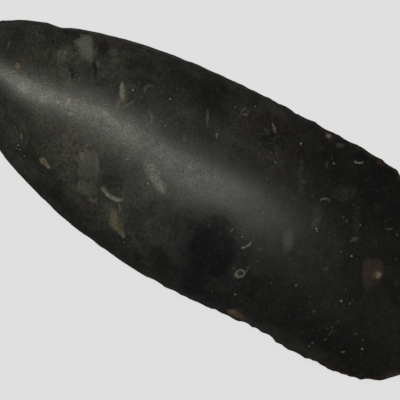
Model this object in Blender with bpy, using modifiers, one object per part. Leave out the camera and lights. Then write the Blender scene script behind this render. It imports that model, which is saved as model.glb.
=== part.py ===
"""A polished stone axe head, lying on one of its two ground faces.

Run it with blender --background --python part.py, or from Blender's text editor.
Metres, +Z up. +X runs along the axe from the butt to the cutting edge, and +Y is
its left side. The origin lies under the middle of the axe, on the small flat that
it rests on.
"""

import bmesh
import bpy
import numpy as np

# Driving sizes of the whole stone.
LENGTH = 0.150  # from the butt to the foremost point of the cutting edge
WIDTH = 0.0597  # over both sides, where the axe is widest
THICKNESS = 0.026  # through the crowns of the two faces, before the rest flat is ground
REST_FLAT_DEPTH = 0.0003  # ground off the lower crown, so that the axe lies still

# The outline seen from above, in four runs that meet end to end. Each point is a
# share of LENGTH from the butt and a share of half the WIDTH from the middle line.
CUTTING_EDGE = ((0.797, 0.962), (0.845, 0.785), (0.890, 0.560), (0.932, 0.300),
                (0.966, 0.030), (0.989, -0.235), (0.9985, -0.450), (0.988, -0.645),
                (0.957, -0.818))
RIGHT_SIDE = ((0.957, -0.818), (0.915, -0.922), (0.853, -0.972), (0.787, -0.986),
              (0.715, -0.970), (0.640, -0.978), (0.570, -1.004), (0.500, -1.008),
              (0.430, -0.985), (0.360, -0.942), (0.290, -0.876), (0.225, -0.777),
              (0.160, -0.660), (0.100, -0.490), (0.055, -0.300))
BUTT = ((0.055, -0.300), (0.017, -0.080), (0.0005, 0.140), (0.006, 0.320), (0.031, 0.460))
LEFT_SIDE = ((0.031, 0.460), (0.080, 0.592), (0.140, 0.692), (0.205, 0.790),
             (0.275, 0.872), (0.345, 0.928), (0.420, 0.964), (0.500, 0.985),
             (0.580, 0.992), (0.660, 0.990), (0.735, 0.984), (0.797, 0.962))

# How the faces swell. Stations are shares of the way from the butt to the edge.
CROWN_STATION = 0.46  # where the axe is thickest
BUTT_DROP = 0.33  # share of its height that the crown loses on its way to the butt
BUTT_FALL = 1.8  # how late it starts to lose that height
BUTT_NOSE = 0.012  # how far from its end the butt starts to round over
EDGE_FALL = 3.0  # how late the crown starts to fall towards the cutting edge
SECTION_AT_BUTT = 0.92  # 1 is a pointed oval, 0.5 an ellipse
SECTION_OF_BODY = 0.68
BODY_STARTS = 0.62  # the station from which the section stays the same

# Flake scars that bite into the outline: side (+1 left, -1 right), share of the
# side from the butt, depth and half-length.
FLAKE_NOTCHES = (
    (1, 0.145, 0.00045, 0.0025),
    (1, 0.735, 0.00030, 0.0020),
    (-1, 0.743, 0.00055, 0.0024),
    (-1, 0.860, 0.00045, 0.0020),
)
NOTCH_REACH = 0.30  # how far a scar runs in from the side, as a share of the half-width

# The net of faces that covers one half, from the butt to the edge and from side to side.
ROWS_ALONG = 76
ROWS_ACROSS = 28
CROWDING_ALONG = 0.45  # 0 spaces the rows evenly, 1 crowds them against butt and edge
CROWDING_ACROSS = 0.65  # the same against the two sides

STONE_COLOUR = (0.021, 0.022, 0.019, 1.0)
STONE_ROUGHNESS = 0.38


def clear_scene():
    for obj in list(bpy.data.objects):
        bpy.data.objects.remove(obj, do_unlink=True)


def stone():
    material = bpy.data.materials.new("dark_polished_stone")
    material.use_nodes = True
    shader = material.node_tree.nodes["Principled BSDF"]
    shader.inputs["Base Color"].default_value = STONE_COLOUR
    shader.inputs["Roughness"].default_value = STONE_ROUGHNESS
    shader.inputs["Metallic"].default_value = 0.0
    return material


def natural_spline(knots, values):
    """A function that gives the smooth curve through values, one for each knot."""
    gap = np.diff(knots)
    slope = np.diff(values, axis=0) / gap[:, None]
    system = np.eye(len(knots))
    change = np.zeros_like(values)
    for i in range(1, len(knots) - 1):
        system[i, i - 1 : i + 2] = gap[i - 1], 2 * (gap[i - 1] + gap[i]), gap[i]
        change[i] = 6 * (slope[i] - slope[i - 1])
    bend = np.linalg.solve(system, change)

    def curve(at):
        i = np.clip(np.searchsorted(knots, at, side="right") - 1, 0, len(gap) - 1)
        before, after, span = at - knots[i], knots[i + 1] - at, gap[i]
        before, after, span = (x[:, None] for x in (before, after, span))
        bent = (bend[i] * after**3 + bend[i + 1] * before**3) / (6 * span)
        straight = values[i] * after + values[i + 1] * before
        pull = (bend[i] * after + bend[i + 1] * before) * span / 6
        return bent + straight / span - pull

    return curve


def outline_runs():
    """The four runs of the outline, each a function of the share of its own length."""
    runs = (CUTTING_EDGE, RIGHT_SIDE, BUTT, LEFT_SIDE)
    points = np.array([p for run in runs for p in run[:-1]] + [LEFT_SIDE[-1]])
    points = points * (LENGTH, WIDTH / 2)
    steps = np.linalg.norm(np.diff(points, axis=0), axis=1)
    knots = np.concatenate(([0.0], np.cumsum(steps)))
    curve = natural_spline(knots, points)
    corners = knots[np.cumsum([0] + [len(run) - 1 for run in runs])]

    def run_between(start, end):
        return lambda share: curve(start + (end - start) * share)

    return [run_between(a, b) for a, b in zip(corners, corners[1:])]


def crowded(share, strength):
    """Evenly spaced shares from 0 to 1, drawn towards both ends."""
    return share - strength * np.sin(2 * np.pi * share) / (2 * np.pi)


def plan_position(along, across):
    """Where each point of the net lies, seen from above.

    along runs from 0 at the butt to 1 at the edge, across from 0 on the right
    side to 1 on the left. The net is stretched evenly between the four runs.
    """
    edge, right, butt, left = outline_runs()
    s, t = along[:, None], across[:, None]
    between_sides = right(1 - along) * (1 - t) + left(along) * t
    between_ends = butt(across) * (1 - s) + edge(1 - across) * s
    ends = np.array([0.0, 1.0])
    (butt_right, butt_left), (edge_left, edge_right) = butt(ends), edge(ends)
    twice = (butt_right * (1 - t) + butt_left * t) * (1 - s)
    twice = twice + (edge_right * (1 - t) + edge_left * t) * s
    return between_sides + between_ends - twice


def face_height(along, across):
    """The height of the upper face over the plane of the outline."""
    to_butt = np.clip((CROWN_STATION - along) / CROWN_STATION, 0, 1)
    to_edge = np.clip((along - CROWN_STATION) / (1 - CROWN_STATION), 0, 1)
    nose = 1 - np.clip(along * LENGTH / BUTT_NOSE, 0, 1)
    crown = (1 - BUTT_DROP * to_butt**BUTT_FALL) * (1 - to_edge**EDGE_FALL)
    crown = crown * np.sqrt(1 - nose**2)
    body = np.clip(along / BODY_STARTS, 0, 1)
    body = body * body * (3 - 2 * body)
    fullness = SECTION_AT_BUTT + (SECTION_OF_BODY - SECTION_AT_BUTT) * body
    from_middle = np.clip(np.abs(2 * across - 1), 0, 1)
    return THICKNESS / 2 * crown * (1 - from_middle**2) ** fullness


def flake_bite(along, across):
    """How far each point is drawn in, towards the middle line, by the flake scars."""
    from_middle = 2 * across - 1
    bite = np.zeros_like(along)
    for side, station, depth, half_length in FLAKE_NOTCHES:
        distance = (along - station) * LENGTH / half_length
        near_side = np.clip((side * from_middle - 1 + NOTCH_REACH) / NOTCH_REACH, 0, 1)
        bite -= side * depth * np.exp(-(distance**2)) * near_side**2
    return bite


def upper_half():
    """The upper face as a net that is open at the plane of the outline."""
    net = bmesh.new()
    bmesh.ops.create_grid(net, x_segments=ROWS_ALONG, y_segments=ROWS_ACROSS, size=0.5)
    mesh = bpy.data.meshes.new("axe_head")
    net.to_mesh(mesh)
    net.free()
    points = np.empty(len(mesh.vertices) * 3)
    mesh.vertices.foreach_get("co", points)
    shares = np.clip(points.reshape(-1, 3)[:, :2] + 0.5, 0, 1)
    along = crowded(shares[:, 0], CROWDING_ALONG)
    across = crowded(shares[:, 1], CROWDING_ACROSS)
    plan = plan_position(along, across)
    plan *= (LENGTH, WIDTH) / (plan.max(0) - plan.min(0))
    plan[:, 1] += flake_bite(along, across)
    shaped = np.column_stack((plan, face_height(along, across)))
    mesh.vertices.foreach_set("co", shaped.ravel())
    return mesh


def both_faces(obj):
    """Mirrors the upper half downwards and keeps the result as a plain mesh."""
    mirror = obj.modifiers.new("lower_face", "MIRROR")
    mirror.use_axis = (False, False, True)
    mirror.merge_threshold = 0.00001
    graph = bpy.context.evaluated_depsgraph_get()
    obj.data = bpy.data.meshes.new_from_object(obj.evaluated_get(graph))
    obj.modifiers.clear()


def grind_rest_flat(obj):
    """Presses the lower crown back to one plane and returns that plane's height."""
    plane = REST_FLAT_DEPTH - THICKNESS / 2
    for vertex in obj.data.vertices:
        vertex.co.z = max(vertex.co.z, plane)
    return plane


def place(obj, plane):
    """Puts the middle of the axe over the origin, with the rest flat at height 0."""
    corners = np.array([vertex.co for vertex in obj.data.vertices])
    middle = (corners.min(0) + corners.max(0)) / 2
    obj.location = (-middle[0], -middle[1], -plane)


def axe_head(material):
    obj = bpy.data.objects.new("axe_head", upper_half())
    collection = bpy.data.collections.new("polished_stone_axe")
    bpy.context.scene.collection.children.link(collection)
    collection.objects.link(obj)
    both_faces(obj)
    place(obj, grind_rest_flat(obj))
    obj.data.shade_smooth()
    obj.data.materials.append(material)
    return obj


def main():
    clear_scene()
    axe_head(stone())


main()
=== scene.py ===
# %% [markdown]
# A polished stone axe head
#
# This notebook dresses one object: a loose axe head of dark stone, ground to shape and
# polished thousands of years ago. Its solid is ready and fixed, so nothing here moves or
# resizes it. What the solid lacks is the surface: the chipped rim, the soft facets left
# by the grindstone, the fossils and stains in the stone, and the worn polish. The stone
# could be sculpted and painted by hand, but marks made by rules can be moved, resized
# and made again, so everything below is worked out from a few named sizes.

# %% The fixed frame
import math

import bpy
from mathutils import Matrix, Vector


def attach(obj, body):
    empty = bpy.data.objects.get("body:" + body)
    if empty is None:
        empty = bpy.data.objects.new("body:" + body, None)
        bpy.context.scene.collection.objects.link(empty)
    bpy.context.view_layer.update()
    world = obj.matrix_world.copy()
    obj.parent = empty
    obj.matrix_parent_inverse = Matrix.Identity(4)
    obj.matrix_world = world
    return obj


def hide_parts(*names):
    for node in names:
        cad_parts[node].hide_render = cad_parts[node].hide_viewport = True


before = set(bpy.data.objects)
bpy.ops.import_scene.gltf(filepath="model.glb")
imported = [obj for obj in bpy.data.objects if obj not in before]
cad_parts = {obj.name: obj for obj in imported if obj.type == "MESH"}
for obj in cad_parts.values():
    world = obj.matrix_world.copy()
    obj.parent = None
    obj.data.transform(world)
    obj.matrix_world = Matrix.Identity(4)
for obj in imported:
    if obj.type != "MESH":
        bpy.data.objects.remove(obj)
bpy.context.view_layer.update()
MM = 0.001

solid = bpy.data.objects["axe_head"]
foremost = max(solid.data.vertices, key=lambda vertex: vertex.co.x)
RIM_HEIGHT = foremost.co.z
print("its two faces meet", round(RIM_HEIGHT / MM, 2), "mm above the floor")

# %% [markdown]
# A wrapper for node sockets
#
# The stone's shape and its finish are both made of nodes. Wiring them one by one hides
# the sums that they do, so a small class stands for one output socket. Python's own
# operators on it add Math nodes, and one method adds any other node. Math nodes turn a
# colour grey, so colours are blended by a Mix node instead.

# %% Wires
class Wire:
    """One output in a node tree. Sums written with it become Math nodes."""

    def __init__(self, tree, socket=None):
        self.tree = tree
        self.socket = socket

    def node(self, kind, settings=None, sockets=None, output=0):
        """Adds a node: first its settings, then the values or wires of its sockets."""
        made = self.tree.nodes.new(kind)
        for name, value in (settings or {}).items():
            setattr(made, name, value)
        for name, value in (sockets or {}).items():
            for wire in value if isinstance(value, list) else [value]:
                if isinstance(wire, Wire):
                    self.tree.links.new(wire.socket, made.inputs[name])
                else:
                    made.inputs[name].default_value = wire
        return Wire(self.tree, made.outputs[output] if made.outputs else None)

    def other(self, output):
        """Another output of the same node."""
        return Wire(self.tree, self.socket.node.outputs[output])

    def math(self, operation, *values):
        return self.node("ShaderNodeMath", {"operation": operation}, dict(enumerate(values)))

    def vector(self, operation, *values, output=0):
        settings = {"operation": operation}
        return self.node("ShaderNodeVectorMath", settings, dict(enumerate(values)), output)

    def __add__(self, other):
        return self.math("ADD", self, other)

    __radd__ = __add__

    def __sub__(self, other):
        return self.math("SUBTRACT", self, other)

    def __rsub__(self, other):
        return self.math("SUBTRACT", other, self)

    def __mul__(self, other):
        return self.math("MULTIPLY", self, other)

    __rmul__ = __mul__

    def __truediv__(self, other):
        return self.math("DIVIDE", self, other)

    def __pow__(self, other):
        return self.math("POWER", self, other)

    def __abs__(self):
        return self.math("ABSOLUTE", self)

    def __lt__(self, other):
        return self.math("LESS_THAN", self, other)

    def least(self, other):
        return self.math("MINIMUM", self, other)

    def most(self, other):
        return self.math("MAXIMUM", self, other)

    def ramp(self, low, high):
        """0 at low and 1 at high, eased between them. low may be above high."""
        settings = {"interpolation_type": "SMOOTHSTEP"}
        falls = low > high
        sockets = {0: self, 1: min(low, high), 2: max(low, high), 3: float(falls), 4: float(not falls)}
        return self.node("ShaderNodeMapRange", settings, sockets)

    def length(self):
        return self.vector("LENGTH", self, output="Value")

    def part(self, axis):
        return self.node("ShaderNodeSeparateXYZ", None, {0: self}, axis)

    def channel(self, index):
        return self.node("ShaderNodeSeparateColor", None, {0: self}, index)


def mixed(factor, first, second, blend="MIX"):
    """A colour that goes from first to second, or that has second added to it."""
    start = next(part for part in (factor, first, second) if isinstance(part, Wire))
    settings = {"data_type": "RGBA", "blend_type": blend}
    # A Mix node has sockets for each kind of value. 6 and 7 take its two colours.
    return start.node("ShaderNodeMix", settings, {0: factor, 6: first, 7: second}, 2)


print("wires are ready")

# %% [markdown]
# The camera
#
# The photograph was taken from straight above, from far enough away that the stone shows
# no perspective to speak of. The axe lies at an angle in the frame, which cuts off its
# butt and its cutting edge. A long lens gives that flat view, and turning the camera
# about its own line of sight gives the angle without touching the axe.

# %% Camera
FRAME_PIXELS = 400
MM_PER_PIXEL = 0.2747
AXE_TURN = math.radians(28)
FRAME_MIDDLE = (0.95 * MM, -4.06 * MM)
CAMERA_HEIGHT = 0.9  # above the rim


def make_camera():
    data = bpy.data.cameras.new("camera")
    camera = bpy.data.objects.new("camera", data)
    frame_width = FRAME_PIXELS * MM_PER_PIXEL * MM
    data.lens = data.sensor_width * CAMERA_HEIGHT / frame_width
    camera.location = (*FRAME_MIDDLE, RIM_HEIGHT + CAMERA_HEIGHT)
    camera.rotation_euler = (0, 0, AXE_TURN)
    bpy.context.scene.collection.objects.link(camera)
    bpy.context.scene.camera = camera
    return camera


print("lens", round(make_camera().data.lens), "mm")

# %% [markdown]
# Floor, light and surroundings
#
# The background is an even pale grey. A floor that glows a little by itself, as a light
# table does, stays even and still takes a faint shadow where the stone lies. Dark stone
# shows mostly what it reflects, so the floor is kept out of its reflections, and the
# surroundings are dim. One distant soft light, almost overhead, makes the streak along
# the crown of the upper face.

# %% Stage
FLOOR_SIDE = 6.0
FLOOR_GLOW = 0.711
FLOOR_PAINT = 0.09
PALE_GREY = 0.745
ROOM_LIGHT = 0.10
LIGHT_TILT_TO_BUTT = math.radians(8)
LIGHT_TILT_TO_LEFT = math.radians(3.5)
LIGHT_WIDTH = math.radians(14)
LIGHT_STRENGTH = 0.95
LIGHT_COLOUR = (1.0, 0.995, 0.90)


def make_floor():
    bpy.ops.mesh.primitive_plane_add(size=FLOOR_SIDE)
    floor = bpy.context.object
    floor.name = "floor"
    paint = bpy.data.materials.new("pale_floor")
    paint.use_nodes = True
    shader = paint.node_tree.nodes["Principled BSDF"]
    shader.inputs["Base Color"].default_value = (FLOOR_PAINT, FLOOR_PAINT, FLOOR_PAINT, 1)
    shader.inputs["Roughness"].default_value = 1.0
    shader.inputs["Specular IOR Level"].default_value = 0.0
    shader.inputs["Emission Color"].default_value = (1, 1, 1, 1)
    shader.inputs["Emission Strength"].default_value = FLOOR_GLOW
    floor.data.materials.append(paint)
    floor.visible_glossy = False
    floor.visible_diffuse = False


def make_light():
    data = bpy.data.lights.new("soft_overhead_light", "SUN")
    data.energy = LIGHT_STRENGTH
    data.angle = LIGHT_WIDTH
    data.color = LIGHT_COLOUR
    light = bpy.data.objects.new("soft_overhead_light", data)
    towards = Vector((-math.tan(LIGHT_TILT_TO_BUTT), math.tan(LIGHT_TILT_TO_LEFT), 1))
    light.rotation_euler = towards.to_track_quat("Z", "Y").to_euler()
    bpy.context.scene.collection.objects.link(light)


def make_surroundings():
    world = bpy.data.worlds.new("studio")
    bpy.context.scene.world = world
    world.use_nodes = True
    world.node_tree.nodes.clear()
    start = Wire(world.node_tree)
    room = (ROOM_LIGHT, ROOM_LIGHT, ROOM_LIGHT, 1)
    backdrop = (PALE_GREY, PALE_GREY, PALE_GREY, 1)
    seen = start.node("ShaderNodeLightPath", output="Is Camera Ray")
    glow = start.node("ShaderNodeBackground", None, {"Color": mixed(seen, room, backdrop)})
    start.node("ShaderNodeOutputWorld", None, {"Surface": glow})


make_floor()
make_light()
make_surroundings()
bpy.context.scene.view_settings.view_transform = "Standard"
print("floor, light and surroundings are ready")

# %% [markdown]
# The ground surface
#
# An axe head was first flaked roughly to shape, and then rubbed for days on a wet
# grindstone until its faces were smooth. The solid has that form, in facets of a few
# millimetres. Geometry Nodes throw a finer net over it: rays shot at the solid from both
# sides find how wide it is at each station, and rays from above and below find how high.
# A subdivision surface then rounds the facets off, and a crease keeps the rim sharp.

# %% A tree with named inputs
def new_tree(name, inputs):
    """A Geometry Nodes tree, and a wire for each of its inputs: name, kind of socket, value."""
    tree = bpy.data.node_groups.new(name, "GeometryNodeTree")
    for label, kind, value in inputs:
        socket = tree.interface.new_socket(label, in_out="INPUT", socket_type=kind)
        if value is not None:
            socket.default_value = value
    tree.interface.new_socket("Geometry", in_out="OUTPUT", socket_type="NodeSocketGeometry")
    source = tree.nodes.new("NodeGroupInput")
    return tree, {label: Wire(tree, source.outputs[label]) for label, kind, value in inputs}


STONE_INPUTS = (
    ("Geometry", "NodeSocketGeometry", None),
    ("Stations", "NodeSocketInt", 93),
    ("Rows", "NodeSocketInt", 33),
    ("Smoothing", "NodeSocketInt", 2),
    ("Rim height", "NodeSocketFloat", 0.0),
    ("Chip depth", "NodeSocketFloat", 1.0),
    ("Seed", "NodeSocketInt", 7),
    ("Material", "NodeSocketMaterial", None),
)
print("the tree has the inputs", [label for label, kind, value in STONE_INPUTS])

# %% The net over the solid
STATION_CROWDING = 0.5
ROW_CROWDING = 0.3
BUTT_LEFT = -70.35 * MM
BUTT_RIGHT = -66.75 * MM
BLADE_LEFT = 44.55 * MM
BLADE_RIGHT = 68.55 * MM
RAY_LIFT = 0.001 * MM  # keeps the level rays off the seam between the two faces
RAY_START = 0.2
ON_BORDER = 0.0001
CREASE_FROM = math.radians(30)
CREASE_TO = math.radians(50)
MERGE_DISTANCE = 0.0005 * MM


def crowded(share, strength):
    """Even shares from 0 to 1, drawn towards both ends."""
    turn = share * math.tau
    return share - turn.math("SINE", turn) * (strength / math.tau)


def between(share, first, last):
    """The number that lies that share of the way from first to last."""
    return first + (last - first) * share


def point(start, x, y, z):
    """Three numbers joined to one place."""
    return start.node("ShaderNodeCombineXYZ", None, {0: x, 1: y, 2: z})


def hit(target, source, direction, axis):
    """Where a ray meets the target, along one axis."""
    sockets = {"Target Geometry": target, "Source Position": source,
               "Ray Direction": direction, "Ray Length": 2 * RAY_START}
    return target.node("GeometryNodeRaycast", None, sockets, "Hit Position").part(axis)


def side_at(target, x, height, side):
    """How far out the stone reaches to its left (+1) or right (-1), at one station."""
    return hit(target, point(target, x, side * RAY_START, height), (0, -side, 0), 1)


def end_at(target, y, height, end):
    """How far out it reaches to its cutting edge (+1) or butt (-1), at one width."""
    return hit(target, point(target, end * RAY_START, y, height), (-end, 0, 0), 0)


def stretched(along, across, sides, ends, corners):
    """One coordinate of a net stretched evenly between right and left side, butt and edge."""
    from_butt = between(across, corners[0], corners[1])
    from_edge = between(across, corners[2], corners[3])
    twice = between(along, from_butt, from_edge)
    return between(across, *sides) + between(along, *ends) - twice


def throw_net(inputs):
    """Both faces as nets that meet at the rim, and the rim itself as a curve."""
    target, rim_height = inputs["Geometry"], inputs["Rim height"]
    sockets = {"Size X": 1.0, "Size Y": 1.0}
    sockets.update({"Vertices X": inputs["Stations"], "Vertices Y": inputs["Rows"]})
    grid = target.node("GeometryNodeMeshGrid", None, sockets)
    place = target.node("GeometryNodeInputPosition")
    along, across = place.part(0) + 0.5, place.part(1) + 0.5
    to_border = along.least(1 - along).least(across.least(1 - across))
    inside = 1 - (to_border < ON_BORDER)
    along, across = crowded(along, STATION_CROWDING), crowded(across, ROW_CROWDING)

    level = rim_height + RAY_LIFT
    corner_x = (BUTT_RIGHT, BUTT_LEFT, BLADE_RIGHT, BLADE_LEFT)
    corner_y = [side_at(target, x, level, side) for x, side in zip(corner_x, (-1, 1, -1, 1))]
    right_x = between(along, BUTT_RIGHT, BLADE_RIGHT)
    left_x = between(along, BUTT_LEFT, BLADE_LEFT)
    right_y, left_y = side_at(target, right_x, level, -1), side_at(target, left_x, level, 1)
    butt_y = between(across, corner_y[0], corner_y[1])
    edge_y = between(across, corner_y[2], corner_y[3])
    butt_x, edge_x = end_at(target, butt_y, level, -1), end_at(target, edge_y, level, 1)
    x = stretched(along, across, (right_x, left_x), (butt_x, edge_x), corner_x)
    y = stretched(along, across, (right_y, left_y), (butt_y, edge_y), corner_y)

    faces = []
    for side in (1, -1):
        height = hit(target, point(target, x, y, side * RAY_START), (0, 0, -side), 2)
        z = between(inside, rim_height, height)
        sockets = {"Geometry": grid, "Position": point(grid, x, y, z)}
        faces.append(grid.node("GeometryNodeSetPosition", None, sockets))
    upper, lower = faces
    lower = lower.node("GeometryNodeFlipFaces", None, {"Mesh": lower})
    both = upper.node("GeometryNodeJoinGeometry", None, {"Geometry": [upper, lower]})
    sockets = {"Geometry": both, "Distance": MERGE_DISTANCE}
    both = both.node("GeometryNodeMergeByDistance", None, sockets)
    # An edge of the border has one face, and any other edge has two.
    outer = upper.node("GeometryNodeInputMeshEdgeNeighbors") < 1.5
    rim = upper.node("GeometryNodeMeshToCurve", None, {"Mesh": upper, "Selection": outer})
    return both, rim


def smoothed(net, levels):
    """The net rounded off, apart from the edges that are sharp already."""
    crease = net.node("GeometryNodeInputMeshEdgeAngle").ramp(CREASE_FROM, CREASE_TO)
    sockets = {"Mesh": net, "Level": levels, "Edge Crease": crease}
    return net.node("GeometryNodeSubdivisionSurface", None, sockets)


print("the net and its smoothing are defined")

# %% [markdown]
# The chipped rim
#
# Where the two faces meet, the stone is thin and brittle. Use and burial knocked small
# flakes off it, and each left a shallow bowl with a crisp border. The bowls could be cut
# with Booleans, but there are hundreds, and a cut that thin often fails. Here each row of
# bowls is a string of points along the rim, shifted at random. Every point of the surface
# finds its nearest bowl and sinks by that bowl's depth, and the deepest row wins, which
# leaves the sharp ridges that neighbouring flake scars have. The chips come in clusters,
# and there are more and deeper ones in the blade half, which did the work.

# %% Flake scars
SCAR_ROWS = (
    # spacing, least and most reach, least and most depth in millimetres, seed
    (7.3, 1.7, 3.3, 0.14, 0.36, 1),
    (4.3, 1.0, 2.0, 0.08, 0.26, 2),
    (2.4, 0.5, 1.15, 0.04, 0.15, 3),
)
SCAR_SHIFT = 0.18  # as a share of the spacing
SCAR_CLUSTERS = 42.0
SCAR_PRESENT = (0.44, 0.58)
MORE_CHIPS = 0.09  # added to the noise that says where chips are
DEEPER_CHIPS = 0.8
MORE_CHIPS_FROM = -8 * MM
MORE_CHIPS_TO = 22 * MM
SHIFT_SEEDS = (10, 20, 30)
REACH_SEED = 50
DEPTH_SEED = 60


def random_value(start, low, high, seed):
    """A number of its own for each point."""
    sockets = {2: low, 3: high, "Seed": seed}
    return start.node("FunctionNodeRandomValue", {"data_type": "FLOAT"}, sockets, 1)


def at_nearest(points, nearest, kind, value):
    """The value that the nearest of the points has."""
    settings = {"data_type": kind, "domain": "POINT"}
    sockets = {"Geometry": points, "Value": value, "Index": nearest}
    return points.node("GeometryNodeSampleIndex", settings, sockets)


def row_of_scars(rim, place, row, seed):
    """How deep each point of the surface sinks, in metres, for one row of bowls."""
    spacing, least_reach, most_reach, least_depth, most_depth, own_seed = row
    sockets = {"Curve": rim, "Length": spacing * MM}
    string = rim.node("GeometryNodeResampleCurve", {"mode": "LENGTH"}, sockets)
    points = string.node("GeometryNodeCurveToPoints", {"mode": "EVALUATED"}, {"Curve": string})
    spread = spacing * SCAR_SHIFT * MM
    shifts = [random_value(rim, -spread, spread, seed + own_seed + more) for more in SHIFT_SEEDS]
    sockets = {"Geometry": points, "Offset": point(rim, *shifts)}
    points = points.node("GeometryNodeSetPosition", None, sockets)

    sockets = {"Geometry": points, "Sample Position": place}
    nearest = points.node("GeometryNodeSampleNearest", {"domain": "POINT"}, sockets)
    reach = random_value(rim, least_reach * MM, most_reach * MM, seed + own_seed + REACH_SEED)
    reach = at_nearest(points, nearest, "FLOAT", reach)
    depth = random_value(rim, least_depth * MM, most_depth * MM, seed + own_seed + DEPTH_SEED)
    depth = at_nearest(points, nearest, "FLOAT", depth)
    centre = rim.node("GeometryNodeInputPosition")
    centre = at_nearest(points, nearest, "FLOAT_VECTOR", centre)
    clusters = centre.node("ShaderNodeTexNoise", None, {"Vector": centre, "Scale": SCAR_CLUSTERS})
    used_end = centre.part(0).ramp(MORE_CHIPS_FROM, MORE_CHIPS_TO)
    present = (clusters + used_end * MORE_CHIPS).ramp(*SCAR_PRESENT)
    away = place.vector("SUBTRACT", place, centre).length() / reach
    return (1 - away * away).most(0) * depth * present


print("scars are defined in", len(SCAR_ROWS), "rows")

# %% [markdown]
# The whole shape
#
# The parts above are joined in one tree. The smooth net gets slow swells, as hand
# grinding leaves no true curve, and then the scars. The upper face also has a faint
# ridge with a shallow hollow beside it, and is ground a little askew: none of that can
# be seen by itself, but it bends the streak of light along the crown. The swells fade
# out near the floor, because the small rest flat has to stay flat. How near a point is
# to the rim, and how deep a scar is there, are kept as attributes for the finish.

# %% The stone's tree
SWELLS_PER_METRE = 52.0
SWELL_DEPTH = 0.16 * MM
FLAT_UNTIL = 0.3 * MM
FREE_FROM = 2.5 * MM
DEEPEST_SCAR = 0.3 * MM
RIDGE_OFFSET = 6.0 * MM
RIDGE_SOFTNESS = 3.0 * MM
HOLLOW_SLOPE = 0.05
HOLLOW_RETURN = 27 * MM
FAR_SIDE = 0.6  # how steep the hollow's far side is, as a share of its near side
HOLLOW_STARTS = (-38 * MM, -24 * MM)
HOLLOW_ENDS = (32 * MM, 12 * MM)
TWISTS = (
    # slope gained, and the stations between which it is gained, in millimetres
    (-0.045, -74, -70),
    (0.09, -58, -36),
    (-0.055, -24, -8),
)
TWIST_REACH = 22 * MM


def on_upper_face(place):
    """0 at the rim and below it, and 1 on the free part of the upper face."""
    return place.part(2).ramp(RIM_HEIGHT, RIM_HEIGHT + FREE_FROM)


def ridge_hollow(place):
    """How far the upper face sinks beside the faint ridge that grinding left on it."""
    past = place.part(1) - RIDGE_OFFSET
    past = past.math("SMOOTH_MAX", past, 0.0, RIDGE_SOFTNESS)
    back = (HOLLOW_RETURN - place.part(1)) * FAR_SIDE
    hollow = past.math("SMOOTH_MIN", past, back, RIDGE_SOFTNESS).most(0) * HOLLOW_SLOPE
    x = place.part(0)
    along = x.ramp(*HOLLOW_STARTS) * x.ramp(*HOLLOW_ENDS)
    return hollow * along * on_upper_face(place)


def twisted(place):
    """How far the upper face sinks, or rises, because it was ground a little askew."""
    x, y = place.part(0), place.part(1)
    slope = 0.0
    for gained, first, last in TWISTS:
        slope = x.ramp(first * MM, last * MM) * gained + slope
    fade = (1 - (y / TWIST_REACH) ** 2).most(0)
    return 0 - slope * y * fade * on_upper_face(place)


def store(mesh, name, value):
    """Keeps a number for each point of the mesh, under a name."""
    settings = {"data_type": "FLOAT", "domain": "POINT"}
    sockets = {"Geometry": mesh, "Name": name, "Value": value}
    return mesh.node("GeometryNodeStoreNamedAttribute", settings, sockets)


def stone_tree():
    """The tree that turns the solid into the ground and chipped stone."""
    tree, inputs = new_tree("ground_stone", STONE_INPUTS)
    net, rim = throw_net(inputs)
    mesh = smoothed(net, inputs["Smoothing"])
    start = Wire(tree)
    place = start.node("GeometryNodeInputPosition")
    normal = start.node("GeometryNodeInputNormal")

    sockets = {"Vector": place, "Scale": SWELLS_PER_METRE, "Detail": 1.0}
    swell = start.node("ShaderNodeTexNoise", None, sockets)
    swell = swell * SWELL_DEPTH * place.part(2).ramp(FLAT_UNTIL, FREE_FROM)
    swell = swell + ridge_hollow(place) + twisted(place)

    scar = None
    for row in SCAR_ROWS:
        bowl = row_of_scars(rim, place, row, inputs["Seed"])
        scar = bowl if scar is None else scar.most(bowl)
    deeper = place.part(0).ramp(MORE_CHIPS_FROM, MORE_CHIPS_TO) * DEEPER_CHIPS + 1
    scar = scar * deeper * inputs["Chip depth"]

    line = rim.node("GeometryNodeCurveToMesh", None, {"Curve": rim})
    near = line.node("GeometryNodeProximity", {"target_element": "EDGES"}, {0: line}, "Distance")
    mesh = store(mesh, "rim_distance", near / MM)
    mesh = store(mesh, "scar", scar / DEEPEST_SCAR)
    sunk = normal.vector("SCALE", normal)
    start.tree.links.new((0 - swell - scar).socket, sunk.socket.node.inputs["Scale"])
    mesh = mesh.node("GeometryNodeSetPosition", None, {"Geometry": mesh, "Offset": sunk})
    mesh = mesh.node("GeometryNodeSetShadeSmooth", None, {"Geometry": mesh})
    mesh = mesh.node("GeometryNodeRealizeInstances", None, {"Geometry": mesh})
    sockets = {"Geometry": mesh, "Material": inputs["Material"]}
    mesh = mesh.node("GeometryNodeSetMaterial", None, sockets)
    mesh.node("NodeGroupOutput", None, {"Geometry": mesh})
    return tree


# %% The piece
def apply_tree(piece, tree, values):
    """Sets the tree's inputs by their identifiers and keeps its result as a plain mesh."""
    modifier = piece.modifiers.new(tree.name, "NODES")
    modifier.node_group = tree
    for item in tree.interface.items_tree:
        if item.in_out == "INPUT" and item.name in values:
            modifier[item.identifier] = values[item.name]
    graph = bpy.context.evaluated_depsgraph_get()
    mesh = bpy.data.meshes.new_from_object(piece.evaluated_get(graph))
    piece.modifiers.clear()
    piece.data = mesh


def make_axe(material):
    """The visible stone: a copy of the solid, gone through the tree."""
    piece = bpy.data.objects.new("ground_axe_stone", solid.data.copy())
    bpy.context.scene.collection.objects.link(piece)
    values = {"Rim height": RIM_HEIGHT, "Material": material}
    apply_tree(piece, stone_tree(), values)
    return piece


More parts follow.
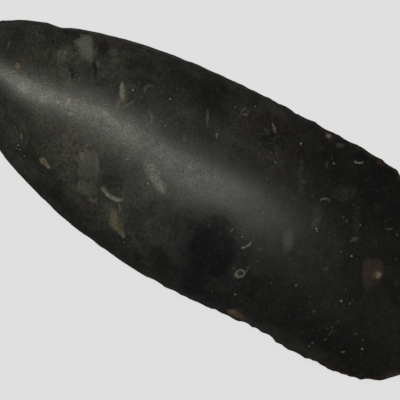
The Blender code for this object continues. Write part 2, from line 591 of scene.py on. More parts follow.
# %% [markdown]
# The stone's finish
#
# The stone is a hard, fine, almost black rock, a little paler and greener towards the
# butt. Grinding cut through shells, worm tracks and grains that settled in it as mud, so
# pale lenses, rings, crescents and specks lie scattered in it, some of them rusty. A
# photograph could be projected on the stone, but it would smear down the sides and leave
# the underside bare. Here every stain is worked out in the shader from Object
# coordinates: noise gives what is random, and each larger mark is listed, in
# millimetres from the middle of the stone. A named noise holds its size in millimetres,
# its seed and its detail, and a named outline or wander its size, reach and seed.

# %% Places on the stone
UNDERSIDE_SHIFT = (12, -4)


def noise(place, size, seed=0.0, detail=2.0, output="Fac"):
    """Cloudy values around 0.5, in lumps about size millimetres wide."""
    sockets = {"Vector": place, "W": seed, "Scale": 1 / size, "Detail": detail}
    return place.node("ShaderNodeTexNoise", {"noise_dimensions": "4D"}, sockets, output)


def shaken(place, size, reach, seed=0.0):
    """The same place, shifted by up to about reach millimetres, so that outlines wander."""
    shift = noise(place, size, seed, output="Color")
    shift = point(place, shift.channel(0) - 0.5, shift.channel(1) - 0.5, 0)
    return place.vector("MULTIPLY_ADD", shift, (2 * reach, 2 * reach, 0), place)


def places(start):
    """A point's place in millimetres, and the same flattened for marks set by hand.

    On the underside the flattened place is turned round and shifted, so that the same
    marks fall elsewhere.
    """
    place = start.node("ShaderNodeTexCoord", output="Object")
    place = place.vector("MULTIPLY", place, (1 / MM, 1 / MM, 1 / MM))
    below = place.part(2) < RIM_HEIGHT / MM
    side = 1 - below * 2
    flat_x = place.part(0) * side + below * UNDERSIDE_SHIFT[0]
    flat_y = place.part(1) * side + below * UNDERSIDE_SHIFT[1]
    return place, point(start, flat_x, flat_y, 0)


def outward(place, x, y, length, width, turn):
    """The square of how far out a point lies in an oval: 0 in its middle, 1 on its outline."""
    along, across = math.cos(math.radians(turn)), math.sin(math.radians(turn))
    away = place.vector("SUBTRACT", place, (x, y, 0))
    first = away.vector("DOT_PRODUCT", away, (2 * along / length, 2 * across / length, 0), output="Value")
    second = away.vector("DOT_PRODUCT", away, (-2 * across / width, 2 * along / width, 0), output="Value")
    return first.math("MULTIPLY_ADD", first, first, second * second)


def oval(place, x, y, length, width, turn=0, soft=0.3):
    """1 inside an oval and 0 outside it. soft is how much of it the border takes."""
    return outward(place, x, y, length, width, turn).ramp((1 + soft) ** 2, (1 - soft) ** 2)


print("marks are placed in millimetres")

# %% Light and dark areas
BUTT_TONE = 0.047
BLADE_TONE = 0.0105
TONE_FROM = -50
TONE_TO = 34
MOTTLING = (
    # size, seed and detail of the noise, its darkest and lightest value, change
    (9, 2.0, 2.0, 0.25, 0.75, 0.9),
    (3.4, 3.0, 4.0, 0.25, 0.75, 0.6),
    (0.8, 4.0, 2.0, 0.2, 0.8, 0.9),
)
WIDE_WANDER = (9, 2.2, 1.0)
NARROW_WANDER = (1.6, 0.5, 1.5)
CLOUD_SOFTNESS = 0.35
CLOUDS = (
    # x, y, length, width, turn, how much lighter or darker
    # partly painted sheen: this long band along the lower flank is lighter partly in the stone's own tone
    # and partly where soft light from that side would fall
    (-16, -12, 62, 18, -3, 0.45),
    (-46, 15, 26, 14, 25, 0.2),
    (-29.4, -11.3, 5.6, 11.0, 28, 0.75),
    (-45.1, -19.2, 7, 5.0, -10, 0.45),
    (-43.5, -14.2, 10, 6.0, -10, -0.25),
    (-8.2, 20.0, 8, 22, 28, -0.4),
    (-51.2, 19.4, 5, 4, 0, -0.45),
    (-42.0, 20.4, 3.2, 4.5, 30, -0.4),
    (-37.0, -22.0, 24, 9, -32, -0.45),
    (-21.9, -10.9, 6, 3.6, 20, -0.4),
    (-27.0, -18.4, 4.2, 1.8, -10, -0.45),
    (43.5, 20, 17, 20, 20, -0.4),
    (30, -20, 32, 12, 0, 0.1),
    (53, -18.5, 18, 14, 20, -0.35),
    (44.7, -7.3, 16, 12, 0, -0.3),
    # painted sheen: this lighter cloud brightens the place where the streak of light along the crown fades
    # out
    (28.6, 5.4, 17, 9, 10, 0.6),
    (62, -20, 18, 10, 40, -0.3),
    (44.8, 16.5, 3, 3, 0, 0.8),
    (59.1, 1.3, 1.6, 3.4, 28, 0.8),
)
DARK_PATCH = (
    # x, y, length, width, turn, softness, strength
    (10.0, -13.2, 12.4, 18.0, 26, 0.15, 1.0),
    (10.4, -9.2, 7.5, 8.5, 26, 0.38, 0.9),
    (7.2, -12.6, 13.5, 18.0, 26, 0.6, 0.6),
    (9.8, -23.5, 6.5, 9.0, 10, 0.55, 0.8),
)
PATCH_TONE = 0.006
PATCH_COVER = 0.95
POLISHING_TURN = math.radians(28)
POLISHING_CLIMB = 0.3
POLISHING_LENGTH = 5.0
POLISHING_WIDTH = 0.45
POLISHING_CHANGE = 0.5


def polishing_marks(place):
    """Fine noise drawn out along one direction, in which the stone was last rubbed."""
    first, second = math.cos(POLISHING_TURN), math.sin(POLISHING_TURN)
    across = place.vector("DOT_PRODUCT", place, (first, second, 0), output="Value")
    along = place.vector("DOT_PRODUCT", place, (-second, first, POLISHING_CLIMB), output="Value")
    drawn = point(place, across / POLISHING_WIDTH, along / POLISHING_LENGTH, place.part(2))
    return noise(drawn, 1.0, 43.0, 2.0)


def varied(light, field, change):
    """Lighter and darker by a field from 0 to 1, around the same middle."""
    return light * (field * change + (1 - change / 2))


def tone(place, flat):
    """How light the stone is, some painted sheen included, and how much a point lies in the dark patch."""
    wide = shaken(shaken(flat, *WIDE_WANDER), *NARROW_WANDER)
    light = place.part(0).ramp(TONE_FROM, TONE_TO) * (BLADE_TONE - BUTT_TONE) + BUTT_TONE
    for x, y, length, width, turn, change in CLOUDS:
        light = light * (oval(wide, x, y, length, width, turn, CLOUD_SOFTNESS) * change + 1)
    for size, seed, detail, darkest, lightest, change in MOTTLING:
        light = varied(light, noise(place, size, seed, detail).ramp(darkest, lightest), change)
    light = varied(light, polishing_marks(place).ramp(0.2, 0.8), POLISHING_CHANGE)
    patch = None
    for x, y, length, width, turn, soft, strength in DARK_PATCH:
        part = oval(wide, x, y, length, width, turn, soft) * strength
        patch = part if patch is None else patch.most(part)
    light = light + (PATCH_TONE - light) * patch * PATCH_COVER
    return light, patch


print(len(CLOUDS), "lighter and darker areas, and a dark patch in", len(DARK_PATCH), "parts")

# %% Warm and cold areas
NOTHING = (0.0, 0.0, 0.0, 1)
GREENISH = (1.02, 1.03, 0.83, 1)
NEUTRAL = (1.0, 1.0, 0.91, 1)
BROWNISH = (1.25, 1.0, 0.80, 1)
BLUISH = (0.96, 0.98, 1.10, 1)
NEUTRAL_FROM = -60
NEUTRAL_TO = 45
MOST_NEUTRAL = 0.8
BROWN_LUMPS = (7, 7.0, 1.5)
BROWN_STRENGTH = 0.30
BLUISH_LUMPS = (5, 8.0)
BLUISH_STRENGTH = 0.6
TINT_WANDER = (6, 2.0, 6.0)
TINT_SOFTNESS = 0.5
BROWN_AREAS = (
    # x, y, length, width, turn, strength
    (14, 19, 24, 14, -10, 0.7),
    (-36, -6, 16, 9, 10, 0.35),
    (-40, 21, 9, 6, 0, 0.7),
)


def hue(place, flat, patch):
    """The stone's tint: greenish by the butt, with brown and bluish areas."""
    wide = shaken(flat, *TINT_WANDER)
    tint = mixed(place.part(0).ramp(NEUTRAL_FROM, NEUTRAL_TO) * MOST_NEUTRAL, GREENISH, NEUTRAL)
    brown = noise(place, *BROWN_LUMPS).ramp(0.50, 0.66) * BROWN_STRENGTH
    for x, y, length, width, turn, strength in BROWN_AREAS:
        brown = brown.most(oval(wide, x, y, length, width, turn, TINT_SOFTNESS) * strength)
    tint = mixed(brown, tint, BROWNISH)
    tint = mixed(noise(place, *BLUISH_LUMPS).ramp(0.58, 0.70) * BLUISH_STRENGTH, tint, BLUISH)
    return mixed(patch, tint, BLUISH)


print(len(BROWN_AREAS), "brown areas")

# %% [markdown]
# Fossils and grains
#
# The marks that stand out are shells and worm tracks, cut through when the stone was
# ground. Thin meshes laid into it could show them, but would leave steps in a face that
# is smooth. Here each mark is an oval of its own colour and softness. A second oval
# bitten out of it leaves a crescent, and its outline alone is a ring. Noise shakes the
# outlines, so that none looks drawn, and wears parts of each mark away.
# A few black ovals in the list are painted shade, where small pits and a hollow by the rim lie.

# %% Listed fossils
WHITE = (0.31, 0.31, 0.27, 1)
BONE = (0.26, 0.245, 0.19, 1)
CREAM = (0.27, 0.21, 0.14, 1)
MILKY = (0.150, 0.168, 0.135, 1)
PALE_GREEN = (0.20, 0.215, 0.15, 1)
OLIVE = (0.125, 0.115, 0.055, 1)
RUST = (0.22, 0.135, 0.075, 1)
PINKISH = (0.085, 0.072, 0.062, 1)
BROWN = (0.058, 0.041, 0.034, 1)
BLACK = (0.003, 0.003, 0.003, 1)
LENSES = (
    # x, y, length, width, turn, colour, strength, softness
    (-44.4, 20.0, 1.3, 4.4, 20, BLACK, 0.6, 0.5),
    (-47.0, 19.4, 3.6, 4.0, 20, MILKY, 1.0, 0.25),
    (-45.6, 18.0, 3.0, 4.4, 45, MILKY, 0.95, 0.25),
    (-43.9, 18.6, 0.8, 1.6, 60, BLACK, 0.45, 0.6),
    (-48.6, 20.6, 1.4, 1.0, 0, MILKY, 0.75, 0.4),
    (-44.0, 16.3, 1.8, 3.2, 40, MILKY, 0.75, 0.35),
    (-48.7, 18.2, 2.2, 1.8, 0, MILKY, 0.75, 0.5),
    (-47.0, 18.9, 2.4, 2.8, 0, PALE_GREEN, 0.4, 0.7),
    (-38.8, 20.5, 2.4, 2.0, 0, MILKY, 0.6, 0.5),
    (-37.2, 18.6, 2.0, 1.8, 0, MILKY, 0.45, 0.5),
    # painted shade: these four black ovals lie where a cluster of small pits is
    (-46.5, 10.7, 0.9, 1.3, 28, BLACK, 1.0, 0.4),
    (-45.4, 9.4, 0.8, 1.5, 20, BLACK, 1.0, 0.4),
    (-47.6, 11.6, 0.5, 1.2, 28, BLACK, 0.6, 0.4),
    (-44.6, 10.0, 1.0, 0.4, 28, BLACK, 0.6, 0.4),
    (-41.0, 13.8, 0.8, 3.4, 35, BLACK, 0.95, 0.6),
    (-40.7, 15.4, 0.5, 1.4, 28, WHITE, 0.35, 0.5),
    (-54.7, 15.0, 0.7, 1.3, 28, BLACK, 0.8, 0.5),
    (-33.5, 20.6, 0.9, 0.9, 0, BLACK, 0.6, 0.5),
    (-22.3, 23.3, 0.8, 0.8, 0, BLACK, 0.75, 0.5),
    (-31.0, 11.6, 2.2, 5.0, 34, OLIVE, 0.95, 0.3),
    (-31.6, 12.1, 1.3, 4.4, 30, WHITE, 0.85, 0.35),
    (-30.7, 10.4, 0.7, 1.6, 40, CREAM, 0.8, 0.5),
    (-30.7, 8.2, 0.8, 3.2, 12, MILKY, 0.6, 0.5),
    (-28.3, 9.8, 0.5, 4.0, -32, MILKY, 0.75, 0.6),
    (-32.2, 9.6, 1.0, 3.4, 20, BLACK, 0.3, 0.7),
    (-41.6, -14.8, 2.7, 1.4, -14, CREAM, 1.0, 0.3),
    (-41.5, -14.9, 1.6, 0.3, -14, BROWN, 0.3, 0.5),
    (-39.9, -15.4, 1.3, 0.8, -14, WHITE, 0.9, 0.4),
    (-29.4, -11.3, 4.6, 9.6, 28, MILKY, 0.24, 0.25),
    (-29.9, -9.6, 4.2, 6.2, 28, WHITE, 0.13, 0.4),
    (-28.2, -8.7, 1.0, 6.0, 28, WHITE, 0.2, 0.5),
    (-22.3, -9.9, 5.2, 0.5, 12, BLACK, 0.55, 0.5),
    (-21.4, -11.4, 4.6, 0.4, 22, BLACK, 0.5, 0.5),
    (-23.4, -12.2, 3.0, 0.4, -20, BLACK, 0.45, 0.5),
    (-24.9, -17.9, 2.6, 0.9, 24, BONE, 0.4, 0.5),
    (-27.2, -18.6, 3.6, 1.6, -8, BROWN, 0.45, 0.5),
    (-17.3, -16.4, 0.5, 2.6, 28, WHITE, 0.45, 0.6),
    (-16.0, -20.2, 7.2, 2.6, -37, OLIVE, 1.0, 0.25),
    (-16.2, -21.0, 4.2, 2.4, -20, OLIVE, 0.9, 0.3),
    (-17.6, -18.8, 3.4, 1.6, -50, CREAM, 0.5, 0.5),
    (-15.9, -21.1, 4.0, 1.1, -36, WHITE, 0.35, 0.6),
    (-17.0, -21.4, 1.6, 0.9, -10, PALE_GREEN, 0.6, 0.5),
    (-6.6, -26.7, 1.4, 4.0, 28, BLACK, 0.5, 0.6),
    (1.2, -24.4, 5.0, 1.5, 20, BLACK, 0.45, 0.7),
    (-13.3, -22.2, 2.0, 1.0, -36, PALE_GREEN, 1.0, 0.5),
    (-12.8, -22.7, 0.9, 0.9, -36, CREAM, 0.9, 0.4),
    (-3.3, 13.6, 0.5, 1.4, 28, WHITE, 0.65, 0.4),
    (-7.8, 16.8, 0.6, 3.4, 28, MILKY, 0.6, 0.8),
    (7.4, 27.4, 6.4, 2.2, -13, PINKISH, 0.5, 0.7),
    (-10.6, 8.8, 0.6, 1.6, 20, WHITE, 0.3, 0.6),
    (-21.3, 9.6, 0.5, 2.8, 36, WHITE, 0.28, 0.6),
    (9.5, 22.6, 0.6, 2.6, 50, CREAM, 0.6, 0.4),
    (9.1, 23.2, 0.4, 1.5, 50, WHITE, 0.4, 0.5),
    (-0.1, 23.6, 1.0, 0.5, 60, WHITE, 0.25, 0.6),
    (1.1, 22.3, 0.9, 0.5, 10, WHITE, 0.3, 0.6),
    (24.2, 27.8, 2.6, 2.2, 0, BROWN, 0.6, 0.6),
    (23.7, 28.1, 1.4, 1.6, 0, CREAM, 1.0, 0.35),
    (23.8, 28.5, 0.7, 0.8, 0, WHITE, 0.8, 0.5),
    (27.9, 27.1, 2.0, 1.3, 20, MILKY, 0.4, 0.6),
    (27.1, 20.6, 0.45, 2.0, 28, WHITE, 0.15, 0.5),
    # painted shade: a black oval where a small hollow by the rim lies in shadow
    (33.9, 26.9, 4.4, 2.2, 20, BLACK, 1.0, 0.3),
    (25.6, -26.6, 5.4, 2.6, -8, BROWN, 0.9, 0.4),
    (24.3, -27.3, 4.4, 1.9, 6, RUST, 1.0, 0.35),
    (23.2, -26.9, 2.4, 1.1, 20, CREAM, 0.5, 0.5),
    (27.0, -26.1, 3.0, 0.9, -24, BLACK, 0.6, 0.5),
    (27.2, -2.6, 1.9, 4.4, 20, MILKY, 0.42, 0.95),
    (30.9, 6.9, 1.8, 4.6, 20, PINKISH, 0.4, 0.95),
    (31.6, 5.6, 1.2, 3.0, 0, MILKY, 0.2, 0.95),
    (22.6, 2.0, 3.0, 3.2, 20, PINKISH, 0.2, 0.95),
    (20.1, -16.4, 1.5, 1.1, 40, OLIVE, 0.28, 0.5),
    (21.2, -15.0, 0.4, 0.8, 0, BONE, 0.45, 0.5),
    (50.6, -0.2, 2.8, 8.8, 28, BROWN, 0.65, 0.25),
    (52.4, 2.1, 3.6, 5.6, 28, BROWN, 0.7, 0.25),
    (51.7, 0.7, 4.8, 6.8, 28, BROWN, 0.6, 0.3),
    (48.8, -0.8, 0.8, 9.0, 28, BLACK, 0.55, 0.6),
    (53.3, 0.6, 2.4, 2.2, 0, RUST, 0.45, 0.6),
    (53.5, 0.7, 1.5, 1.4, 0, CREAM, 1.0, 0.3),
    (50.4, 13.3, 1.7, 0.5, 28, WHITE, 0.28, 0.5),
    (43.1, 6.2, 2.4, 0.5, 48, WHITE, 0.3, 0.5),
    (42.9, 6.2, 1.6, 0.4, -30, WHITE, 0.25, 0.5),
    (12.5, -7.1, 1.3, 0.5, 60, WHITE, 0.38, 0.5),
    (49.3, -19.4, 0.4, 2.0, -4, BONE, 0.2, 0.6),
    (48.8, -19.6, 0.5, 2.6, -4, BLACK, 0.5, 0.6),
    (55.1, -22.3, 1.1, 0.5, 28, WHITE, 0.45, 0.5),
    (55.9, -22.9, 0.5, 0.9, 28, BLACK, 0.7, 0.5),
    (49.7, -15.6, 1.0, 0.5, 28, WHITE, 0.12, 0.4),
    (7.7, 21.3, 0.9, 0.6, 20, WHITE, 0.18, 0.4),
    (-50.1, -11.5, 0.5, 1.5, 28, WHITE, 0.6, 0.4),
    (-64.9, 9.0, 0.5, 1.8, 12, WHITE, 0.3, 0.5),
    (-51.6, 13.3, 0.5, 1.4, 28, WHITE, 0.35, 0.5),
    (-50.3, 14.2, 0.5, 1.2, 28, WHITE, 0.45, 0.5),
    (-60.0, 4.9, 0.9, 0.8, 0, CREAM, 0.7, 0.5),
    (-43.0, 2.8, 1.1, 1.4, 20, CREAM, 0.8, 0.6),
    (-45.4, 1.2, 0.8, 1.0, 0, CREAM, 0.8, 0.6),
    (-41.0, 0.0, 1.3, 1.0, 0, CREAM, 0.8, 0.6),
)
CRESCENTS = (
    # x, y, length, width, turn, bite to x, bite to y, colour, strength
    (-20.9, -13.9, 6.8, 2.0, -2, 0.3, 0.9, BONE, 0.9),
    (-20.0, -14.4, 4.6, 1.5, 8, 0.1, 0.75, WHITE, 1.0),
    (17.7, -9.0, 2.8, 1.3, 61, -0.38, 0.26, WHITE, 1.0),
    (19.9, -16.7, 2.9, 2.3, 40, 0.35, 0.35, WHITE, 0.8),
    (31.0, 11.7, 2.7, 1.6, 20, 0.2, -0.5, BONE, 0.65),
    (34.5, 25.5, 2.4, 1.1, 24, -0.2, 0.45, WHITE, 0.85),
    (-25.2, 15.9, 3.0, 3.2, 40, 0.8, -0.3, BONE, 0.35),
)
RINGS = (
    # x, y, length, width, turn, thickness as a share of the radius, colour, strength
    (20.0, -16.5, 2.3, 1.9, 40, 0.42, BONE, 0.95),
    (-60.0, 4.9, 1.2, 1.1, 0, 0.9, RUST, 1.0),
    (0.5, 22.9, 2.2, 1.7, 60, 0.45, BONE, 0.22),
    (-11.3, -11.8, 1.4, 1.4, 0, 0.4, BONE, 0.12),
    (39.8, -4.6, 0.9, 0.9, 0, 0.7, BONE, 0.25),
)
LUMPY_OUTLINE = (2.4, 0.45, 9.0)
RAGGED_OUTLINE = (0.8, 0.19, 10.0)
CRESCENT_SOFTNESS = 0.2
BITE_SOFTNESS = 0.25
WORN_SPOTS = (0.9, 17.0, 2.0)
MOST_WEAR = 0.45
print(len(LENSES), "lens-shaped fossils,", len(CRESCENTS), "crescents and", len(RINGS), "rings")


def ring(place, x, y, length, width, turn, thickness):
    """1 on the outline of an oval, and 0 away from it."""
    return abs(outward(place, x, y, length, width, turn) - 1).ramp(2 * thickness, 0)


def laid_on(paint, open_share, mask, strength, colour):
    """Adds one mark to the paint, and takes its share away from what stays open."""
    clear = mask.math("MULTIPLY_ADD", mask, -strength, 1.0)
    return mixed(clear, colour, paint), clear * open_share


def fossils(place, flat):
    """The marks' colour on black, painted shade in a few black ones included, and the share of the stone
    that they leave open.
    """
    fine = shaken(shaken(flat, *LUMPY_OUTLINE), *RAGGED_OUTLINE)
    paint, open_share = NOTHING, 1.0
    for x, y, length, width, turn, colour, strength, soft in LENSES:
        mask = oval(fine, x, y, length, width, turn, soft)
        paint, open_share = laid_on(paint, open_share, mask, strength, colour)
    for x, y, length, width, turn, bite_x, bite_y, colour, strength in CRESCENTS:
        bitten = oval(fine, x + bite_x, y + bite_y, length, width, turn, BITE_SOFTNESS)
        mask = oval(fine, x, y, length, width, turn, CRESCENT_SOFTNESS) * (1 - bitten)
        paint, open_share = laid_on(paint, open_share, mask, strength, colour)
    for x, y, length, width, turn, thickness, colour, strength in RINGS:
        mask = ring(fine, x, y, length, width, turn, thickness)
        paint, open_share = laid_on(paint, open_share, mask, strength, colour)
    kept = noise(place, *WORN_SPOTS).ramp(0.34, 0.56) * MOST_WEAR + (1 - MOST_WEAR)
    return mixed(kept, NOTHING, paint), 1 - (1 - open_share) * kept


# %% Listed grains
DOTS = (
    # x, y, radius, strength
    (-29.2, 13.8, 0.42, 1.0), (-19.1, 16.4, 0.38, 0.8), (-16.7, 9.3, 0.28, 0.8), (-2.5, 22.9, 0.45, 0.3),
    (2.3, 25.6, 0.32, 0.7), (-44.6, 10.3, 0.32, 0.4), (-13.6, -6.7, 0.5, 0.6), (-11.8, -24.0, 0.4, 0.35),
    (-49.8, -14.2, 0.35, 0.8), (-48.9, -15.0, 0.3, 0.7), (-49.9, -15.2, 0.3, 0.6), (-47.0, -15.9, 0.38, 0.5),
    (18.0, 22.4, 0.42, 0.95), (28.5, 21.9, 0.45, 0.45), (14.2, 14.6, 0.45, 0.45), (15.8, -7.5, 0.3, 0.6),
    (21.1, -14.2, 0.32, 0.55), (22.5, -11.5, 0.3, 0.35), (10.0, -18.2, 0.35, 0.15), (21.5, -22.3, 0.36, 0.7),
    (15.5, -24.5, 0.35, 0.25), (34.9, -12.3, 0.5, 0.3), (39.7, -13.2, 0.42, 0.15), (28.7, -14.8, 0.4, 0.2),
    (30.0, -6.7, 0.3, 0.4), (32.5, 3.9, 0.42, 0.8), (33.0, 3.4, 0.3, 0.7), (44.5, 1.8, 0.42, 0.7),
    (41.5, 1.5, 0.4, 0.35), (47.8, -10.3, 0.38, 1.0), (50.2, -9.8, 0.38, 0.28), (50.4, -8.7, 0.28, 0.35),
    (47.5, -7.0, 0.3, 0.25), (42.7, 10.5, 0.34, 0.55), (37.6, 10.0, 0.5, 0.25), (49.2, -17.8, 0.4, 0.25),
    (49.0, -21.6, 0.5, 0.22), (46.1, -25.3, 0.36, 0.6), (59.2, -19.2, 0.4, 0.7), (58.2, -16.9, 0.35, 0.2),
    (17.7, 1.0, 0.5, 0.25), (55.9, 6.8, 0.6, 0.1), (9.6, 26.0, 0.3, 0.4), (38.5, 14.5, 0.3, 0.3),
)
GRAIN_OUTLINE = (0.7, 0.27, 12.0)
GRAIN_BORDER = (1.20, 0.30)  # in radii: where a grain starts, and where it is whole
# painted shadow: a dark ring round each grain, in radii from where it starts to where it is full, and its
# strength
GRAIN_SHADOW_BORDER = (2.6, 1.3)
GRAIN_SHADOW_STRENGTH = 0.55


def grains(flat):
    """How much of each point is a grain, and how much lies in the painted shadow round one."""
    fine = shaken(flat, *GRAIN_OUTLINE)
    found, nearest = None, None
    for x, y, radius, strength in DOTS:
        distance = fine.vector("DISTANCE", fine, (x, y, 0), output="Value") / radius
        dot = distance.ramp(*GRAIN_BORDER) * strength
        found = dot if found is None else found.most(dot)
        nearest = distance if nearest is None else nearest.least(distance)
    return found, nearest.ramp(*GRAIN_SHADOW_BORDER)


# %% Patches of shell sand
SAND = (
    # x, y, length, width, turn, strength, softness
    (-12.8, -4.4, 9.4, 3.0, -30, 0.35, 0.4),
    (-14.8, -3.0, 5.0, 3.6, -28, 0.3, 0.4),
    (-11.2, -5.3, 5.4, 2.2, -26, 0.9, 0.4),
    (-6.0, -17.4, 9.0, 5.0, 0, 0.1, 0.8),
    (22.1, 14.7, 1.2, 7.0, 28, 0.15, 0.9),
    (35.3, 16.1, 4.0, 3.4, 28, 0.1, 0.9),
    (41.4, 10.6, 1.4, 7.5, 28, 0.1, 0.9),
    (-46.0, 18.2, 5.0, 6.0, 30, 0.5, 0.4),
    (-50.0, 13.6, 4.0, 3.0, 30, 0.25, 0.6),
)
SAND_OUTLINE = (2.4, 1.0, 14.0)
SAND_GRAINS = (0.6, 15.0, 2.0)
SAND_HAZE = 0.25  # how pale a patch is between its grains


def shell_sand(colour, place, flat):
    """Pale patches, where crushed shells settled."""
    ragged = shaken(flat, *SAND_OUTLINE)
    grain = noise(place, *SAND_GRAINS).ramp(0.47, 0.58)
    for x, y, length, width, turn, strength, soft in SAND:
        mask = oval(ragged, x, y, length, width, turn, soft)
        mask = mask * (grain * (1 - SAND_HAZE) + SAND_HAZE)
        colour = mixed(mask * strength, colour, WHITE)
    return colour


print(len(DOTS), "grains,", len(SAND), "patches of shell sand")

# %% [markdown]
# Specks and veins
#
# Between those marks lie small specks, too many to set by hand. A Voronoi texture cuts
# the stone into cells, and the random colour of a cell says whether it holds a speck, how
# large and how pale. Veins lie where cloudy noise passes through its middle value. Such
# lines curl but never end, so a second noise breaks them.

# %% Random specks
SHELL_GREY = (0.245, 0.250, 0.225, 1)
SPECKS = (
    # cell, radius, share of cells that hold one, shift, strength, colour
    (1.2, 0.28, 0.45, 23.0, 0.1, SHELL_GREY),
    (1.9, 0.36, 0.4, 11.0, 0.22, SHELL_GREY),
    (2.3, 0.5, 0.35, 51.0, 0.45, BLACK),
    (3.6, 0.5, 0.35, 37.0, 0.3, SHELL_GREY),
    (7.0, 0.55, 0.3, 71.0, 0.5, BONE),
)
SPECK_OUTLINE = (0.8, 0.40, 18.0)
SPECKS_AT_BUTT = 0.6
SPECKS_GAINED = 0.3
SPECKS_FROM = -20
SPECKS_TO = 40
LEAST_SPECK = 0.25
FAINTEST_SPECK = 0.2
VEINS = (
    # size, half-width as a change of the noise, seed, strength, colour
    (1.5, 0.065, 21.0, 0.055, SHELL_GREY),
    (2.4, 0.05, 24.0, 0.4, BLACK),
)
VEIN_WANDER = (3.5, 0.8, 26.0)
VEIN_BREAKS = 1.9
SCALY_AREA = (11, 18, 9, 11, 10, 0.5)  # x, y, length, width, turn, softness
SCALY_OUTLINE = (4, 1.0, 27.0)
SCALY_GAIN = 1.2


def strewn(place, cell, shift):
    """Distance to the nearest of many scattered centres, in millimetres, and its random numbers."""
    moved = place.vector("ADD", place, (shift, shift, shift))
    cells = moved.node("ShaderNodeTexVoronoi", None, {"Vector": moved, "Scale": 1 / cell}, "Distance")
    return cells * cell, cells.other("Color")


def specks(colour, place):
    """Pale and dark grains that lie everywhere, most thickly in the blade half."""
    more = place.part(0).ramp(SPECKS_FROM, SPECKS_TO) * SPECKS_GAINED + SPECKS_AT_BUTT
    ragged = shaken(place, *SPECK_OUTLINE)
    for cell, radius, share, shift, strength, paint in SPECKS:
        distance, random = strewn(ragged, cell, shift)
        size = random.channel(1) * radius + radius * LEAST_SPECK
        present = random.channel(0) < more * share
        shade = random.channel(2) * (1 - FAINTEST_SPECK) + FAINTEST_SPECK
        mask = (distance / size).ramp(1.2, 0.5) * present * shade
        colour = mixed(mask * strength, colour, paint)
    return colour


def veins(colour, place, flat):
    """Faint, broken, curly lines: edges of shells and worm tracks."""
    bent = shaken(place, *VEIN_WANDER)
    scaly = oval(shaken(flat, *SCALY_OUTLINE), *SCALY_AREA)
    for size, width, seed, strength, paint in VEINS:
        line = abs(noise(bent, size, seed, 1.0) - 0.5).ramp(width, 0)
        broken = noise(place, VEIN_BREAKS, seed + 1, 1.0).ramp(0.50, 0.60).most(scaly)
        colour = mixed(line * broken * (scaly * SCALY_GAIN + 1) * strength, colour, paint)
    return colour


print(len(SPECKS), "kinds of specks and", len(VEINS), "of veins")

# %% [markdown]
# Patina, gloss and relief
#
# Iron in the ground has stained the thin rim brown, in a band that widens and narrows.
# It is paler along the left side near the butt, and one stretch of the right side is
# worn to a paler bevel. The flake scars are a little lighter and duller than the ground
# faces. On those, the polish is even from a step away but grainy up close: in the light
# streak, the grains of the rock glitter. Paint alone can't do that, so a bump with two
# sizes of grain and a few pits tilts the light, and the roughness changes too.

# %% Patina
PATINA = (0.062, 0.038, 0.028, 1)
DARK_PATINA = (0.022, 0.012, 0.010, 1)
PALE_PATINA = (0.104, 0.086, 0.070, 1)
PATINA_WIDTH = 0.95
LEAST_PATINA = 0.30
PATINA_AREAS = (
    # x, y, length, width, turn, how much wider
    (27, 29, 14, 5, -4, 0.4),
    (45, 26, 18, 8, -12, 0.8),
    (8, -29, 44, 5, -3, 0.9),
    (64, -24, 24, 10, 38, 0.7),
    (-49, -19.5, 12, 4, -40, 1.0),
    (-22, 26, 76, 12, 6, 0.7),
)
BEVEL = (0.068, 0.060, 0.053, 1)
BEVEL_AREA = (38.5, -28.5, 29, 13, 4, 0.5)  # x, y, length, width, turn, softness
BEVEL_WEAR = (3.2, 33.0, 3.0)
BEVEL_BORDER = (2, 34.0)
BEVEL_FROM_RIM = (8.0, 3.2)  # where it starts and where it is whole
BEVEL_STRENGTH = 0.55
PATINA_LUMPS = (1.8, 31.0, 3.0)
PATINA_SOFTNESS = 0.5
PATINA_COVER = 0.85
RUSTY_SPOTS = (1.1, 35.0)
RUSTY_PART = (10, -20)
PALE_PART = (30, -30)
PALE_SIDE = (0, 10)
RIM_WANDER = (3, 1.0, 32.0)
RIM_SHADE = 0.35


def bevel(colour, place, wide, distance):
    """The stretch of rim that is worn paler."""
    worn = noise(place, *BEVEL_WEAR).ramp(0.15, 0.62) * oval(wide, *BEVEL_AREA)
    near = (distance + noise(place, *BEVEL_BORDER)).ramp(*BEVEL_FROM_RIM)
    return mixed(worn * near * BEVEL_STRENGTH, colour, BEVEL)


def patina(colour, place, flat):
    """The stain along the rim, with a darker line where it ends."""
    distance = place.node("ShaderNodeAttribute", {"attribute_name": "rim_distance"}, output="Fac")
    wide = shaken(flat, *RIM_WANDER)
    colour = bevel(colour, place, wide, distance)
    reach = noise(place, *PATINA_LUMPS).ramp(0.30, 0.62) * PATINA_WIDTH + LEAST_PATINA
    for x, y, length, width, turn, gain in PATINA_AREAS:
        reach = reach * (oval(wide, x, y, length, width, turn, PATINA_SOFTNESS) * gain + 1)
    past = distance - reach
    colour = mixed(past.ramp(1.0, 0.3) * RIM_SHADE, colour, BLACK)
    x, y = place.part(0), place.part(1)
    rusty = noise(place, *RUSTY_SPOTS).ramp(0.40, 0.58).most(x.ramp(*RUSTY_PART))
    rust = mixed(rusty, DARK_PATINA, PATINA)
    rust = mixed(x.ramp(*PALE_PART) * y.ramp(*PALE_SIDE), rust, PALE_PATINA)
    return mixed(past.ramp(0.30, -0.30) * PATINA_COVER, colour, rust)


print(len(PATINA_AREAS), "stretches of rim with a wider stain")

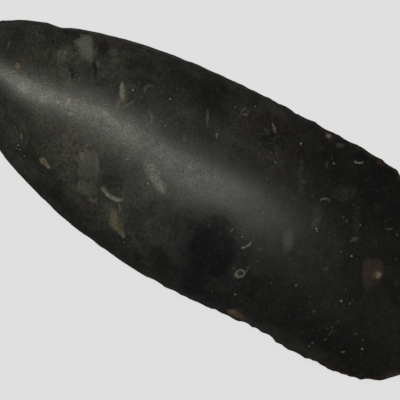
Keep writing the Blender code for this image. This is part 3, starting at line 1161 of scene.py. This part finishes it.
# %% Gloss
POLISH = 0.335
CLOUDY_POLISH = (6, 41.0, 3.0)
CLOUDY_CHANGE = 0.06
UNEVEN_POLISH = (
    # size, seed, detail, change
    (1.6, 42.0, 3.0, 0.1),
    (0.55, 44.0, 2.0, 0.22),
)
BELLY = (-22, 0, 38, 36, 0, 0.6)  # x, y, length, width, turn, softness
BELLY_DULLNESS = 0.045
PATCH_GLOSS = 0.09
SCAR_DULLNESS = 0.14


def gloss(place, flat, patch, scar):
    """The roughness: lower where the stone shines more."""
    rough = noise(place, *CLOUDY_POLISH).ramp(0.25, 0.75) * CLOUDY_CHANGE + POLISH
    for size, seed, detail, change in UNEVEN_POLISH:
        rough = rough + (noise(place, size, seed, detail) - 0.5) * change
    rough = rough + oval(flat, *BELLY) * BELLY_DULLNESS
    rough = rough - patch * PATCH_GLOSS
    return rough + scar.ramp(0.05, 0.4) * SCAR_DULLNESS


print("roughness is around", POLISH)

# %% Relief
ROCK_GRAIN = (0.5, 51.0, 3.0)
ROCK_GRAIN_HEIGHT = 0.040
RIPPLE = (1.9, 52.0, 2.0)
RIPPLE_HEIGHT = 0.014
SMOOTHER_FROM = -25
SMOOTHER_TO = 15
MOST_SMOOTHED = 0.65
PIT_CELL = 2.6
PIT_SHIFT = 83.0
PIT_SHARE = 0.10
PIT_BORDER = (0.35, 0.1)
PIT_DEPTH = 0.05


def relief(place):
    """The height of the finest relief, in millimetres."""
    smoother = place.part(0).ramp(SMOOTHER_FROM, SMOOTHER_TO) * MOST_SMOOTHED
    height = noise(place, *ROCK_GRAIN) * ROCK_GRAIN_HEIGHT * (1 - smoother)
    height = height + noise(place, *RIPPLE) * RIPPLE_HEIGHT
    distance, random = strewn(place, PIT_CELL, PIT_SHIFT)
    pit = distance.ramp(*PIT_BORDER) * (random.channel(0) < PIT_SHARE)
    return height - pit * PIT_DEPTH


print("the finest relief is about", ROCK_GRAIN_HEIGHT, "mm high")

# %% The stone
SCAR_PALENESS = 0.3


def stone_material():
    """The whole finish, from the bare stone up to the stain on its rim."""
    material = bpy.data.materials.new("polished_dark_stone")
    material.use_nodes = True
    tree = material.node_tree
    shader = tree.nodes["Principled BSDF"]
    start = Wire(tree)
    place, flat = places(start)
    scar = start.node("ShaderNodeAttribute", {"attribute_name": "scar"}, output="Fac")
    light, patch = tone(place, flat)
    light = light * (scar.ramp(0.05, 0.5) * SCAR_PALENESS + 1)
    colour = mixed(light, NOTHING, hue(place, flat, patch))
    colour = specks(colour, place)
    colour = veins(colour, place, flat)
    paint, open_share = fossils(place, flat)
    colour = mixed(open_share, NOTHING, colour)
    colour = mixed(1.0, colour, paint, "ADD")
    colour = shell_sand(colour, place, flat)
    found, grain_shadow = grains(flat)
    # painted shadow round each grain
    colour = mixed(grain_shadow * GRAIN_SHADOW_STRENGTH, colour, BLACK)
    colour = mixed(found, colour, WHITE)
    colour = patina(colour, place, flat)
    height = relief(place)
    bump = start.node("ShaderNodeBump", None, {"Distance": MM, "Height": height})
    tree.links.new(colour.socket, shader.inputs["Base Color"])
    tree.links.new(gloss(place, flat, patch, scar).socket, shader.inputs["Roughness"])
    tree.links.new(bump.socket, shader.inputs["Normal"])
    print("the stone's finish has", len(tree.nodes), "nodes")
    return material


axe = make_axe(stone_material())
print("the stone has", len(axe.data.vertices), "points and", len(axe.data.polygons), "faces")
triangles = sum(len(face.vertices) - 2 for face in axe.data.polygons)
print("which is", triangles, "triangles")

# %% Hand over
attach(axe, "root")
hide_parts("axe_head")
